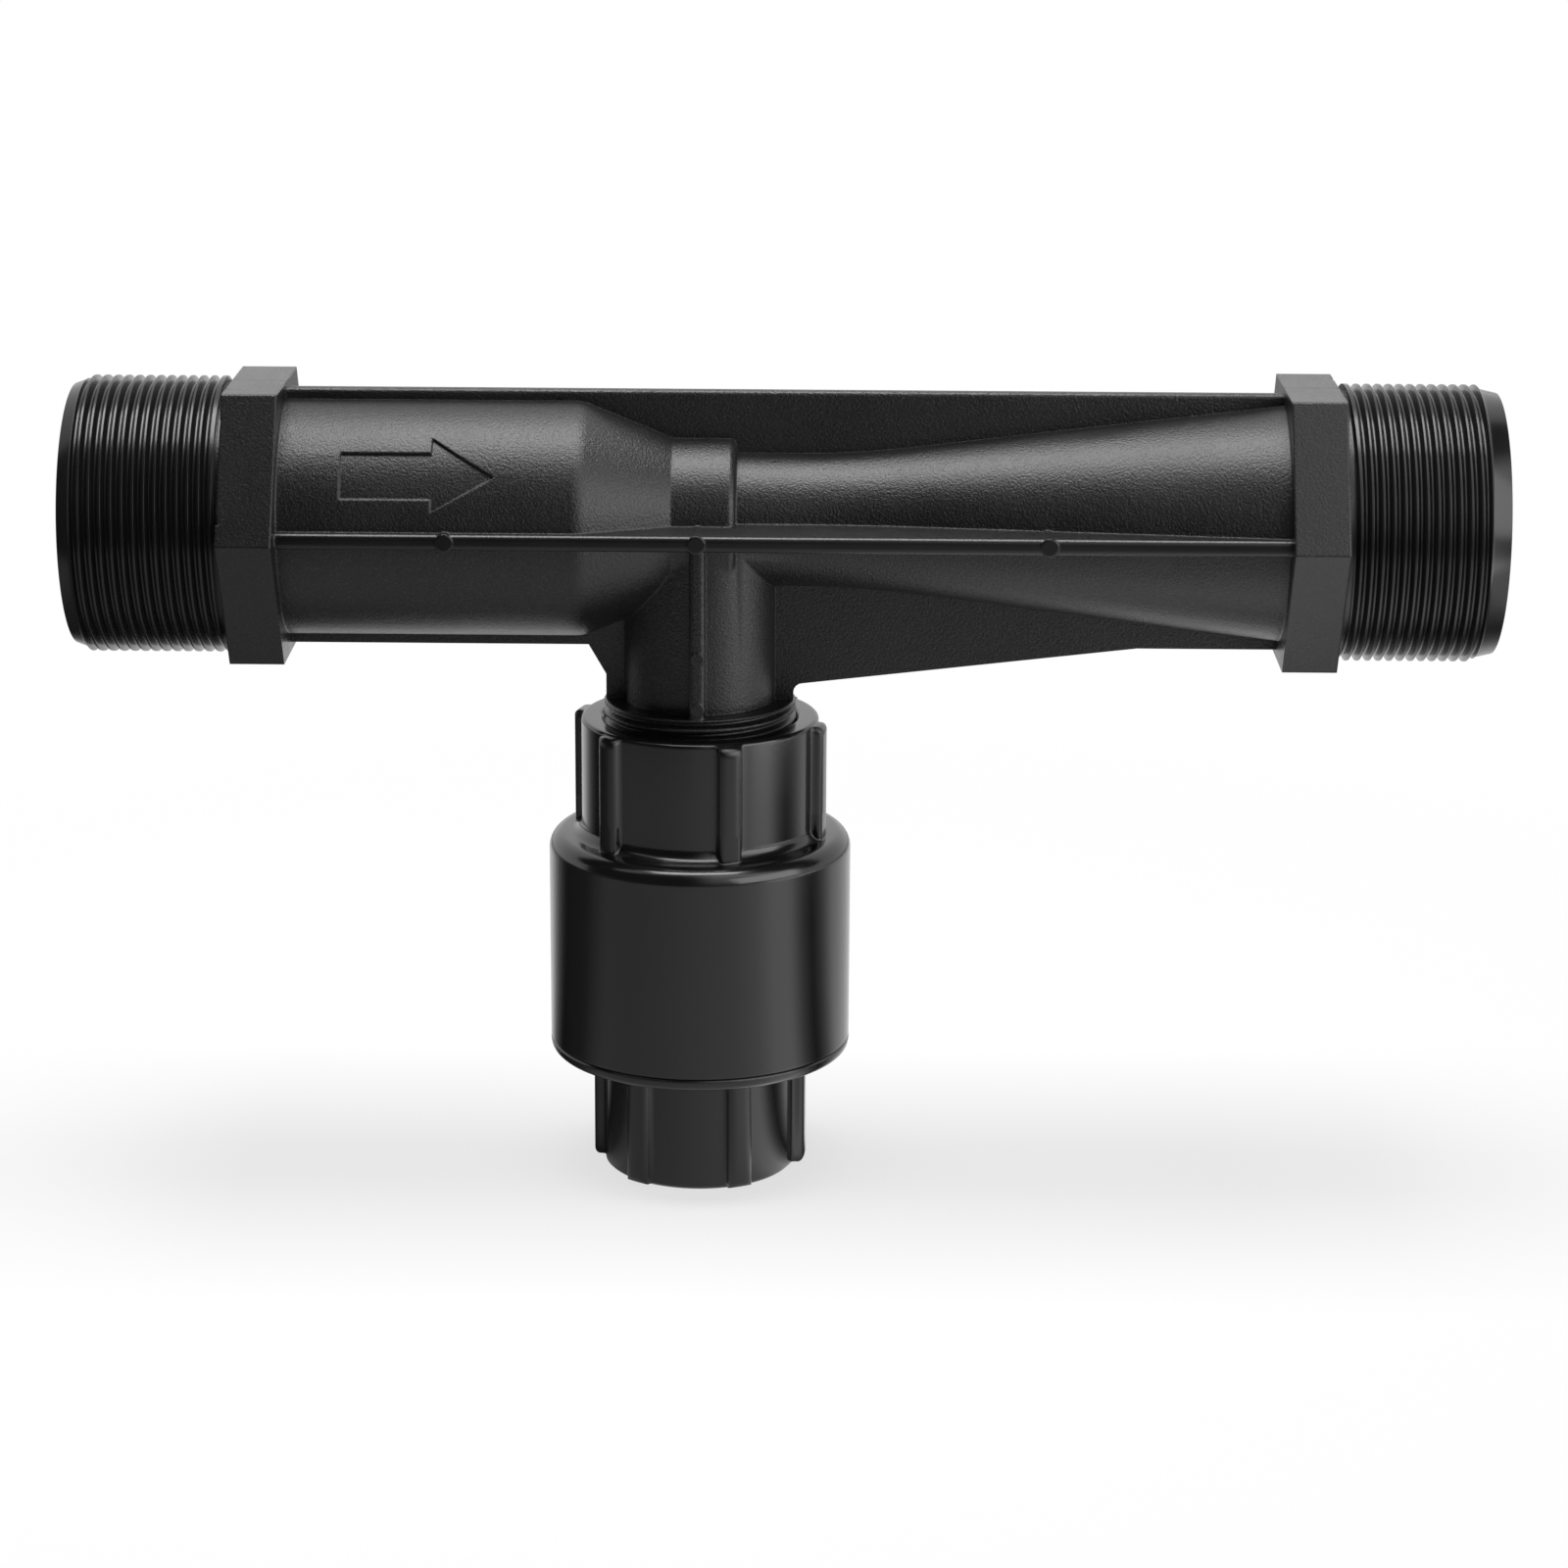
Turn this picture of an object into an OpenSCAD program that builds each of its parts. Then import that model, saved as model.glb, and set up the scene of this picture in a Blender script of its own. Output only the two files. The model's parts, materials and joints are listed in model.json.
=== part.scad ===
// Venturi fertilizer injector with a spring check valve screwed onto its suction branch.
// Origin: centre of the suction socket's mouth, which the part stands on.
// +X is the flow direction, +Z is up, and lengths are in millimetres.

/* [End fittings] */
// Crest radius of the male pipe threads at both ends
end_thread_r = 29.8; // [26:0.1:38]
// Length of each end thread, from hexagon to end face
end_thread_l = 34; // [20:0.5:45]
// Depth of the thread root below its crest
thread_depth = 1.48; // [0.8:0.02:2]
// Plain neck at root radius between thread and hexagon
relief_l = 1.2; // [0.6:0.1:3]
// Length of the plain nose at the inlet's end face
inlet_nose_l = 2.3; // [0.8:0.1:5]
// Length of the plain nose at the outlet's end face
outlet_nose_l = 3.6; // [0.8:0.1:5]
// Drop from the thread's crest to the nose
nose_drop = 0.9; // [0.4:0.1:1.4]
// Taper of the nose towards the end face
nose_taper = 0.8; // [0.3:0.1:2]
// Width of the spanner hexagons across their flats
hex_af = 58.6; // [54:0.2:80]
// Length of each hexagon along the flow
hex_l = 11.7; // [6:0.1:20]
// Height worn off each hexagon corner by its rounding
hex_blunt = 0.1; // [0.05:0.05:1]

/* [Flow body] */
// Outside radius of the inlet tube and of the diffuser's wide end
tube_r = 25.7; // [22:0.1:30]
// Wall of the inlet tube and the diffuser
wall = 3.3; // [2:0.1:5]
// Length of the straight inlet tube
tube_l = 63.6; // [40:0.2:90]
// Length of the converging cone
cone_l = 19.3; // [12:0.1:35]
// Tangent length of the blend between tube and cone
cone_blend = 1.6; // [0.5:0.1:4]
// Outside radius of the collar round the throat
collar_r = 17.8; // [16:0.1:22]
// Collar length upstream of the suction axis
collar_up = 5.7; // [3:0.1:10]
// Collar length downstream of the suction axis
collar_down = 8; // [5:0.1:12]
// Rounding of the collar's downstream edge
collar_round = 1.6; // [0.5:0.1:2.5]
// Outside radius of the neck downstream of the collar
neck_r = 14.7; // [13:0.1:16]
// Length of the neck, up to the point where the flare starts
neck_l = 25.3; // [15:0.1:40]
// Length of the flared diffuser
diffuser_l = 91.7; // [60:0.1:130]
// Tangent length of the blend between neck and flare
flare_blend = 12; // [4:0.5:14]
// Radius of the nozzle throat
throat_r = 9.4; // [6:0.1:10.5]
// Straight length of the nozzle throat
throat_l = 4; // [2:0.1:8]
// Distance from the throat's step to the edge of the suction hole
throat_step = 1; // [0.3:0.1:3]

/* [Ribs] */
// Height of the long ribs above the inlet tube
rib_h = 2.3; // [1:0.1:5]
// Thickness of the ribs and webs
rib_t = 3.4; // [2:0.1:5]
// Rounding along the rib edges
rib_round = 1; // [0.2:0.05:1.2]
// Radius of the round ejector bosses on the rib edges
boss_r = 1.95; // [1.2:0.05:3]
// How far an ejector boss stands proud of the rib edge
boss_proud = 0.12; // [0.05:0.01:0.5]
// Upstream ejector boss, from the suction axis
boss_up = 53; // [30:0.5:70]
// Downstream ejector boss, from the suction axis
boss_down = 74.2; // [40:0.2:100]
// Length of an ejector boss, inwards from the rib edge
boss_l = 11; // [9:0.5:13]

/* [Suction branch] */
// Outside radius of the branch
branch_r = 16.5; // [14:0.1:18]
// Distance from the flow axis down to the branch thread
branch_l = 40; // [36:0.5:55]
// Crest radius of the branch's male thread
port_thread_r = 20.95; // [19:0.05:23]
// Length of the branch's male thread
port_thread_l = 23; // [15:0.5:30]
// Radius of the bore in the branch
branch_bore_r = 12.4; // [8:0.1:13]
// Radius of the bore in the threaded spigot
spigot_bore_r = 16.4; // [14:0.1:17]
// Radius of the suction hole into the throat
suction_r = 4.5; // [2:0.1:6]
// Height of the branch's four fins
fin_h = 3.9; // [1.5:0.1:4.4]
// Radius of the ejector bosses on the fins
fin_boss_r = 1.55; // [1:0.05:2.5]
// Lower ejector boss on a fin, above the branch thread
fin_boss_low = 2.2; // [1:0.1:8]
// Upper ejector boss on a fin, above the branch thread
fin_boss_high = 13.4; // [9:0.1:20]
// Edge break at the top of the branch thread
port_break = 0.4; // [0.2:0.05:0.5]
// Width of the gusset under the inlet tube
gusset_run = 3.8; // [1:0.1:10]
// Height from the branch thread up to the gusset's foot
gusset_foot = 5.4; // [2:0.1:10]
// Height from the branch thread up to the web's lower corner
web_foot = 3.6; // [2.5:0.1:8]
// Reach of the web's sloping lower edge downstream
web_slope_end = 95; // [50:1:115]
// Rounding of the corner between web and branch fin
web_round = 2; // [0.5:0.1:2.4]

/* [Check valve housing] */
// Length of thread left showing between branch and housing
thread_show = 4; // [1:0.1:8]
// Clearance between a male thread and the piece that it is screwed into
thread_clear = 0.1; // [0.05:0.01:0.2]
// Outside radius of the screwed collar
grip_r = 26; // [24.5:0.1:28]
// Height of the screwed collar above the shoulder
grip_l = 26; // [20:0.2:40]
// Height of the collar's ribs
grip_rib_h = 2.3; // [1:0.1:4]
// Width of the collar's ribs
grip_rib_w = 5; // [3:0.1:7]
// Rounding of the ribs' long edges, on collar and socket
grip_edge = 1.1; // [0.3:0.1:1.4]
// Concave rounding at the foot of the ribs, on collar and socket
grip_foot = 1.2; // [0.3:0.1:2]
// Rounding at the top end of the collar's ribs
grip_rib_round = 1.4; // [0.5:0.1:2]
// Edge rounding and thread lead at the collar's mouth
grip_mouth = 0.8; // [0.3:0.1:1.5]
// Turn of the collar's ribs from the front of the part
grip_turn = 15.5; // [0:0.5:60]
// Height of the barrel from its joint line to the shoulder
barrel_l = 47.2; // [40:0.2:70]
// Convex rounding of the shoulder
shoulder_round = 3.6; // [2:0.1:4.5]
// Concave rounding between collar and shoulder
shoulder_fillet = 2.6; // [1:0.1:3.5]
// Inside radius of the valve chamber
chamber_r = 28.2; // [26:0.1:30]
// Wall of the barrel round the chamber
barrel_wall = 5; // [3.5:0.1:9]
// Thickness of the barrel's roof below the shoulder
roof_t = 4; // [2.5:0.1:6]
// Radius of the passage through the deck
deck_bore_r = 14.5; // [11:0.1:16]
// Wall of the guide hub
hub_wall = 3.2; // [2.6:0.1:5]
// Width of the guide hub's spokes
spoke_w = 3; // [2:0.1:5]

/* [Check valve cap] */
// Height of the ribbed suction socket
socket_l = 27; // [24:0.2:40]
// Outside radius of the suction socket
socket_r = 21.2; // [19.5:0.1:24]
// Radius of the socket's female thread
socket_thread_r = 16.6; // [14:0.05:18]
// Depth of the socket's female thread
socket_depth = 22; // [14:0.2:23]
// Lead-in chamfer of the socket
socket_lead = 1; // [0.5:0.1:1.5]
// Height of the socket's ribs
socket_rib_h = 2.5; // [1:0.1:4]
// Rounding at the lower end of the socket's ribs
socket_rib_round = 1.2; // [0.5:0.1:2]
// Edge break round the socket's mouth
socket_break = 0.6; // [0.2:0.1:1.2]
// Width of the socket's ribs
socket_rib_w = 5.4; // [3:0.1:8]
// Turn of the socket's ribs from the front of the part
socket_turn = 24.5; // [0:0.5:60]
// Height of the flange below the joint line
flange_l = 2.8; // [2.2:0.1:6]
// Rounding of the flange's lower edge
flange_round = 1.9; // [0.5:0.1:2.3]
// Edge break on both sides of the joint line
seam_break = 0.35; // [0.1:0.05:0.8]
// Length of the plug inside the barrel
plug_l = 13.8; // [10:0.2:18]
// Radius of the bore through the valve seat
seat_r = 10; // [8.8:0.1:12]
// Width of the seat's lip
seat_lip = 2.2; // [1.5:0.1:4]
// Height of the seat above the plug
seat_rise = 3; // [1.5:0.1:5]
// Chamfer at the plug's inner end
plug_lead = 1; // [0.4:0.1:2]
// Height of the cone from the socket into the seat's bore
seat_cone = 2; // [1:0.1:4]

/* [Valve parts] */
// Thickness of the flat port gasket
gasket_t = 2; // [1:0.1:4]
// Thickness of the round ring between cap and barrel
ring_t = 2.6; // [1.6:0.1:3.5]
// Thickness of the poppet's rubber washer
seal_t = 2.5; // [1.5:0.1:4]
// How far the washer reaches past the seat's lip
seal_margin = 2.3; // [1:0.1:4]
// Thickness of the poppet's disc
disc_t = 4; // [2:0.1:6]
// How far the disc reaches past the washer
disc_margin = 1.5; // [0.5:0.1:4]
// Edge break of the poppet
disc_break = 0.6; // [0.2:0.1:1]
// Height of the snap head that holds the washer
head_h = 1.6; // [1:0.1:3]
// Gap between the snap head and the seat's bore
head_clear = 2.1; // [1:0.1:3]
// How far the snap head reaches under the washer
head_lip = 1.4; // [0.6:0.1:2]
// Radius of the poppet's guide stem
stem_r = 3; // [2:0.1:3.6]
// Clearance between the guide stem and its hub
stem_clear = 0.3; // [0.1:0.05:0.5]
// Lift of the poppet off its seat
lift = 6; // [2:0.5:7]
// Width of the stem's shoulder that stops the lift
stop_step = 0.8; // [0.5:0.1:1.5]
// Wire diameter of the spring
wire_d = 1.2; // [0.6:0.1:1.6]
// Pitch of the spring's working turns
spring_pitch = 2.7; // [2:0.1:5]
// Gap between the spring and the stem's shoulder
spring_gap = 0.4; // [0.2:0.1:1]

/* [Hidden] */

$fn = 96;
over = 1;          // overrun of a cut past the face that it opens
touch = 0.05;      // gap between round faces that seat on each other
bite = 1;          // overlap of shapes that are joined
grip_sink = 0.15;  // depth of a rib's foot below its wall
body_black = [0.055, 0.055, 0.058];
valve_black = [0.045, 0.045, 0.048];
rubber_black = [0.02, 0.02, 0.02];
acetal_grey = [0.55, 0.56, 0.57];
spring_steel = [0.7, 0.71, 0.72];

// Heights on the valve axis, from the socket's mouth up to the flow axis
seam_z = socket_l + flange_l;
shoulder_z = seam_z + barrel_l;
grip_top_z = shoulder_z + grip_l;
branch_z = grip_top_z + thread_show;
flow_z = branch_z + branch_l;
spigot_z = branch_z - port_thread_l;
deck_top_z = spigot_z - gasket_t;
deck_z = shoulder_z - roof_t;
deck_t = deck_top_z - deck_z;
plug_z = seam_z + plug_l;
seat_z = plug_z + seat_rise;
disc_z = seat_z + seal_t;
spring_z = disc_z + disc_t;

// Places along the flow axis, from the suction axis
cone_x = -collar_up - cone_l;
hex_in_x = cone_x - tube_l;
thread_in_x = hex_in_x - hex_l;
inlet_x = thread_in_x - end_thread_l;
flare_x = collar_down + neck_l;
hex_out_x = flare_x + diffuser_l;
thread_out_x = hex_out_x + hex_l;
outlet_x = thread_out_x + end_thread_l;

rib_reach = tube_r + rib_h;
fin_reach = branch_r + fin_h;
hex_r = hex_af / 2 / cos(30);
thread_root_r = end_thread_r - thread_depth;
nose_r = end_thread_r - nose_drop;
bore_r = tube_r - wall;
mix_r = neck_r - wall;
step_x = -suction_r - throat_step;
flare_angle = atan((tube_r - neck_r) / diffuser_l);
cone_angle = atan((tube_r - collar_r) / cone_l);
cone_bend_r = cone_blend / tan(cone_angle / 2);

grip_bore_r = port_thread_r + thread_clear;
plug_r = chamber_r - thread_clear;
barrel_r = chamber_r + barrel_wall;
ring_z = plug_z - 2 * ring_t;
hub_bore_r = stem_r + stem_clear;
hub_r = hub_bore_r + hub_wall;
head_r = seat_r - head_clear;
seal_hole_r = head_r - head_lip;
seal_r = seat_r + seat_lip + seal_margin;
disc_r = seal_r + disc_margin;
stop_r = hub_bore_r + stop_step;
stop_z = deck_z - lift - touch;
spring_r = stop_r + spring_gap + wire_d / 2;
coil_low_z = spring_z + wire_d / 2 + touch;
coil_high_z = deck_z - wire_d / 2 - touch;
spring_turns = (coil_high_z - coil_low_z - 2 * wire_d) / spring_pitch;
shoulder_w = barrel_r - grip_r;
shoulder_r = min(shoulder_round, shoulder_w / 2);
fillet_r = min(shoulder_fillet, shoulder_w * 0.4);
flange_r = min(flange_round, flange_l - seam_break - touch);

// Points on an arc in n steps, from angle a0 to angle a1
function arc(c, r, a0, a1, n = 6) =
    [for (i = [0 : n]) c + r * [cos(a0 + (a1 - a0) * i / n), sin(a0 + (a1 - a0) * i / n)]];

// Outline of a bar with rounded corners, from low to high corner
function bar(low, high, r) = concat(
    arc([high.x - r, high.y - r], r, 0, 90, 4),
    arc([low.x + r, high.y - r], r, 90, 180, 4),
    arc([low.x + r, low.y + r], r, 180, 270, 4),
    arc([high.x - r, low.y + r], r, 270, 360, 4));

// Turns a shape's own Z axis into the flow axis
module along_flow(x = 0) {
    translate([x, 0, flow_z]) rotate([0, 90, 0]) children();
}

// Ring between two radii, standing on height z
module ring(r_out, r_in, z, h) {
    translate([0, 0, z]) difference() {
        cylinder(r = r_out, h = h);
        translate([0, 0, -over]) cylinder(r = r_in, h = h + 2 * over);
    }
}

// Half profile of the body's round outside, as radius and place along the flow
function body_profile() = concat(
    [[0, inlet_x], [nose_r - nose_taper, inlet_x], [nose_r, inlet_x + inlet_nose_l],
     [end_thread_r, inlet_x + inlet_nose_l + nose_drop],
     [end_thread_r, thread_in_x - relief_l], [thread_root_r, thread_in_x - relief_l],
     [thread_root_r, thread_in_x + hex_l / 2], [tube_r, thread_in_x + hex_l / 2]],
    arc([tube_r - cone_bend_r, cone_x - cone_blend], cone_bend_r, 0, cone_angle, 4),
    [[collar_r, -collar_up]],
    arc([collar_r - collar_round, collar_down - collar_round], collar_round, 0, 90, 5),
    [[neck_r, collar_down]],
    flare_points(),
    [[tube_r, hex_out_x], [tube_r, hex_out_x + hex_l / 2], [thread_root_r, hex_out_x + hex_l / 2],
     [thread_root_r, thread_out_x + relief_l], [end_thread_r, thread_out_x + relief_l],
     [end_thread_r, outlet_x - outlet_nose_l - nose_drop], [nose_r, outlet_x - outlet_nose_l],
     [nose_r - nose_taper, outlet_x], [0, outlet_x]]);

// Arc that is tangent to the neck and to the flare
function flare_points() =
    let (r = flare_blend / tan(flare_angle / 2))
    arc([neck_r + r, flare_x - flare_blend], r, 180, 180 - flare_angle, 6);

// Bottom web in the plane of the flow and suction axes, as place and height from the flow axis
function web_outline() = concat(
    [[hex_in_x - bite, 0], [hex_in_x - bite, -rib_reach], [-fin_reach - gusset_run, -rib_reach],
     [-fin_reach, gusset_foot - branch_l], [-fin_reach, -branch_l], [fin_reach, -branch_l]],
    arc([fin_reach + web_round, web_foot - branch_l - web_round], web_round, 180, 90, 4),
    [[web_slope_end, -rib_reach], [hex_out_x + bite, -rib_reach], [hex_out_x + bite, 0]]);

// Spanner hexagon with slightly rounded corners, flats up and down
module spanner_hex(x) {
    along_flow(x) intersection() {
        rotate([0, 0, 30]) cylinder(r = hex_r, h = hex_l, $fn = 6);
        cylinder(r = hex_r - hex_blunt, h = hex_l);
    }
}

// Ribs that run from hexagon to hexagon: front and back, and the web on top
module long_ribs() {
    along_flow(hex_in_x - bite) linear_extrude(hex_out_x - hex_in_x + 2 * bite) {
        polygon(bar([-rib_t / 2, -rib_reach], [rib_t / 2, rib_reach], rib_round));
        polygon(bar([-rib_reach, -rib_t / 2], [0, rib_t / 2], rib_round));
    }
}

// Web below the body, and the front and back fins of the branch
module branch_webs() {
    translate([0, 0, flow_z]) rotate([90, 0, 0])
        linear_extrude(rib_t, center = true) polygon(web_outline());
    translate([0, 0, branch_z]) linear_extrude(branch_l)
        polygon(bar([-rib_t / 2, -fin_reach], [rib_t / 2, fin_reach], rib_round));
}

// Round ejector bosses in the rib edges, front and back
module ejector_bosses() {
    for (side = [-1, 1]) {
        for (x = [-boss_up, 0, boss_down])
            translate([x, side * (rib_reach + boss_proud), flow_z])
                rotate([side * 90, 0, 0]) cylinder(r = boss_r, h = boss_l);
        for (z = [fin_boss_low, fin_boss_high])
            translate([0, side * (fin_reach + boss_proud), branch_z + z])
                rotate([side * 90, 0, 0]) cylinder(r = fin_boss_r, h = boss_l);
    }
}

// Suction branch with its threaded spigot
module branch() {
    translate([0, 0, branch_z]) cylinder(r = branch_r, h = branch_l);
    translate([0, 0, spigot_z]) rotate_extrude() polygon([
        [0, 0], [port_thread_r - thread_depth, 0], [port_thread_r, thread_depth],
        [port_thread_r, port_thread_l - port_break], [port_thread_r - port_break, port_thread_l],
        [0, port_thread_l]]);
}

// Water way: inlet, converging nozzle, throat step and diffuser
module flow_bore() {
    along_flow() rotate_extrude() polygon([
        [0, inlet_x - over], [bore_r, inlet_x - over], [bore_r, cone_x - wall],
        [throat_r, step_x - throat_l], [throat_r, step_x], [mix_r, step_x],
        [mix_r, flare_x], [bore_r, hex_out_x], [bore_r, outlet_x + over], [0, outlet_x + over]]);
}

// Suction way: spigot, branch and the hole into the throat step
module suction_bore() {
    rotate_extrude() polygon([
        [0, spigot_z - over], [spigot_bore_r, spigot_z - over], [spigot_bore_r, branch_z],
        [branch_bore_r, branch_z + wall], [branch_bore_r, flow_z - collar_r - wall],
        [suction_r, flow_z - mix_r - wall], [suction_r, flow_z], [0, flow_z]]);
}

module venturi_body() {
    color(body_black) difference() {
        union() {
            along_flow() rotate_extrude() polygon(body_profile());
            spanner_hex(thread_in_x);
            spanner_hex(hex_out_x);
            long_ribs();
            branch_webs();
            ejector_bosses();
            branch();
        }
        flow_bore();
        suction_bore();
    }
}

// Cross-section of a rib on a round wall, with rounded edges and rounded feet
function rib_section(wall_r, height, width) =
    let (edge = min(grip_edge, height * 0.6))
    let (foot = min(grip_foot, height - edge))
    let (side = width / 2 + foot)
    let (foot_r = sqrt(wall_r * wall_r - side * side) - grip_sink)
    let (top_r = wall_r + height - edge)
    concat(
        [[wall_r / 2, -side]],
        arc([foot_r + foot, -side], foot, 180, 90, 4),
        arc([top_r, edge - width / 2], edge, 270, 360, 4),
        arc([top_r, width / 2 - edge], edge, 0, 90, 4),
        arc([foot_r + foot, side], foot, 270, 180, 4),
        [[wall_r / 2, side]]);

// Ring of six upright ribs on a round wall, trimmed by a profile with rounded ends
module grip_ribs(wall_r, height, width, turn, low_z, high_z, round_top, round_bottom) {
    reach = wall_r + height;
    intersection() {
        translate([0, 0, low_z]) for (i = [0 : 5])
            rotate([0, 0, turn - 90 + 60 * i])
                linear_extrude(high_z - low_z)
                    polygon(rib_section(wall_r, height, width));
        rotate_extrude() polygon(concat(
            [[0, low_z]],
            arc([reach - round_bottom, low_z + round_bottom], round_bottom, 270, 360, 4),
            arc([reach - round_top, high_z - round_top], round_top, 0, 90, 4),
            [[0, high_z]]));
    }
}

// Half profile of the housing's outside, from the joint line up to the collar
function housing_profile() = concat(
    [[0, seam_z], [barrel_r - seam_break, seam_z], [barrel_r, seam_z + seam_break]],
    arc([barrel_r - shoulder_r, shoulder_z - shoulder_r], shoulder_r, 0, 84, 7),
    arc([grip_r + fillet_r, shoulder_z + fillet_r], fillet_r, 262, 180, 6),
    arc([grip_r - grip_mouth, grip_top_z - grip_mouth], grip_mouth, 0, 90, 3),
    [[0, grip_top_z]]);

// Open way through the housing, from the chamber up to the collar's mouth
function housing_bore() = [
    [0, seam_z - over], [chamber_r, seam_z - over], [chamber_r, deck_z], [deck_bore_r, deck_z],
    [deck_bore_r, deck_top_z], [grip_bore_r, deck_top_z], [grip_bore_r, grip_top_z - grip_mouth],
    [grip_bore_r + grip_mouth, grip_top_z], [grip_bore_r + grip_mouth, grip_top_z + over],
    [0, grip_top_z + over]];

module check_valve_housing() {
    color(valve_black) union() {
        difference() {
            union() {
                rotate_extrude() polygon(housing_profile());
                grip_ribs(grip_r, grip_rib_h, grip_rib_w, grip_turn, shoulder_z - fillet_r / 2,
                          grip_top_z - grip_mouth / 2, grip_rib_round, seam_break);
            }
            rotate_extrude() polygon(housing_bore());
        }
        difference() {
            union() {
                translate([0, 0, deck_z]) cylinder(r = hub_r, h = deck_t);
                for (i = [0 : 2])
                    rotate([0, 0, 120 * i]) translate([0, -spoke_w / 2, deck_z])
                        cube([deck_bore_r + over, spoke_w, deck_t]);
            }
            translate([0, 0, deck_z - over]) cylinder(r = hub_bore_r, h = deck_t + 2 * over);
        }
    }
}

// Half profile of the cap's outside, from the socket's mouth up to the seat
function cap_profile() = concat(
    [[0, 0], [socket_r - socket_break, 0], [socket_r, socket_break], [socket_r, socket_l]],
    arc([barrel_r - flange_r, socket_l + flange_r], flange_r, 270, 360, 5),
    [[barrel_r, seam_z - seam_break], [barrel_r - seam_break, seam_z], [plug_r, seam_z],
     [plug_r, ring_z - ring_t / 2 - touch], [plug_r - ring_t, ring_z - ring_t / 2 - touch],
     [plug_r - ring_t, ring_z + ring_t / 2 + touch], [plug_r, ring_z + ring_t / 2 + touch],
     [plug_r, plug_z - plug_lead], [plug_r - plug_lead, plug_z],
     [seat_r + seat_lip + seat_rise, plug_z],
     [seat_r + seat_lip, seat_z], [0, seat_z]]);

module check_valve_cap() {
    color(valve_black) difference() {
        union() {
            rotate_extrude() polygon(cap_profile());
            grip_ribs(socket_r, socket_rib_h, socket_rib_w, socket_turn, socket_break,
                      socket_l + flange_r / 2, seam_break, socket_rib_round);
        }
        rotate_extrude() polygon([
            [0, -over], [socket_thread_r + socket_lead, -over], [socket_thread_r + socket_lead, 0],
            [socket_thread_r, socket_lead], [socket_thread_r, socket_depth],
            [seat_r, socket_depth + seat_cone], [seat_r, seat_z + over], [0, seat_z + over]]);
    }
}

module port_gasket() {
    color(rubber_black)
        ring(port_thread_r - 2 * thread_clear, spigot_bore_r, deck_top_z, gasket_t);
}

module cap_o_ring() {
    color(rubber_black) rotate_extrude()
        translate([chamber_r - touch - ring_t / 2, ring_z]) circle(d = ring_t - touch, $fn = 48);
}

// Disc with its guide stem above, and the snap head that holds the washer below
module valve_poppet() {
    neck_r = seal_hole_r - thread_clear;
    stem_top_z = deck_top_z - disc_break;
    color(acetal_grey) rotate_extrude() polygon([
        [0, seat_z - head_h], [head_r - disc_break, seat_z - head_h],
        [head_r, seat_z - head_h + disc_break], [head_r, seat_z], [neck_r, seat_z],
        [neck_r, disc_z], [disc_r - disc_break, disc_z], [disc_r, disc_z + disc_break],
        [disc_r, spring_z - disc_break], [disc_r - disc_break, spring_z], [stop_r, spring_z],
        [stop_r, stop_z], [stem_r, stop_z], [stem_r, stem_top_z - disc_break],
        [stem_r - disc_break, stem_top_z], [0, stem_top_z]]);
}

module poppet_seal() {
    color(rubber_black) ring(seal_r, seal_hole_r, seat_z, seal_t);
}

// Height of the wire's centre at turn t, with one closed turn at each end
function coil_height(t) =
    coil_low_z + wire_d * (min(t, 1) + max(t - 1 - spring_turns, 0))
        + spring_pitch * min(max(t - 1, 0), spring_turns);

// One ring of points round the wire, at turn t
function wire_ring(t, sides) = [for (j = [0 : sides - 1])
    let (a = 360 * j / sides)
    let (r = spring_r + wire_d / 2 * cos(a))
    [r * cos(360 * t), r * sin(360 * t), coil_height(t) + wire_d / 2 * sin(a)]];

module valve_spring() {
    sides = 8;
    per_turn = 20;
    rings = ceil((spring_turns + 2) * per_turn);
    points = [for (i = [0 : rings]) each wire_ring((spring_turns + 2) * i / rings, sides)];
    skin = [for (i = [0 : rings - 1], j = [0 : sides - 1])
        let (k = (j + 1) % sides)
        [i * sides + j, i * sides + k, (i + 1) * sides + k, (i + 1) * sides + j]];
    first = [for (j = [sides - 1 : -1 : 0]) j];
    last = [for (j = [0 : sides - 1]) rings * sides + j];
    color(spring_steel) polyhedron(points, concat(skin, [first, last]));
}

venturi_body();
check_valve_housing();
check_valve_cap();
port_gasket();
cap_o_ring();
valve_poppet();
poppet_seal();
valve_spring();
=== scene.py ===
# %% [markdown]
# # A venturi fertilizer injector
# Water runs through the long body from left to right. The narrow throat in its middle sucks liquid fertilizer
# up through the check valve that hangs below it. The solids of all eight pieces come from the CAD frame, at
# their true size. This lesson gives them what a CAD solid lacks: cut threads, a sunk flow sign, soft moulded
# edges, a smooth copy of the spring, the finish of each material, and the light of a small photo studio.

# %% Load the solids
import json
import math

import bmesh
import bpy
from mathutils import Matrix, Vector


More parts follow.
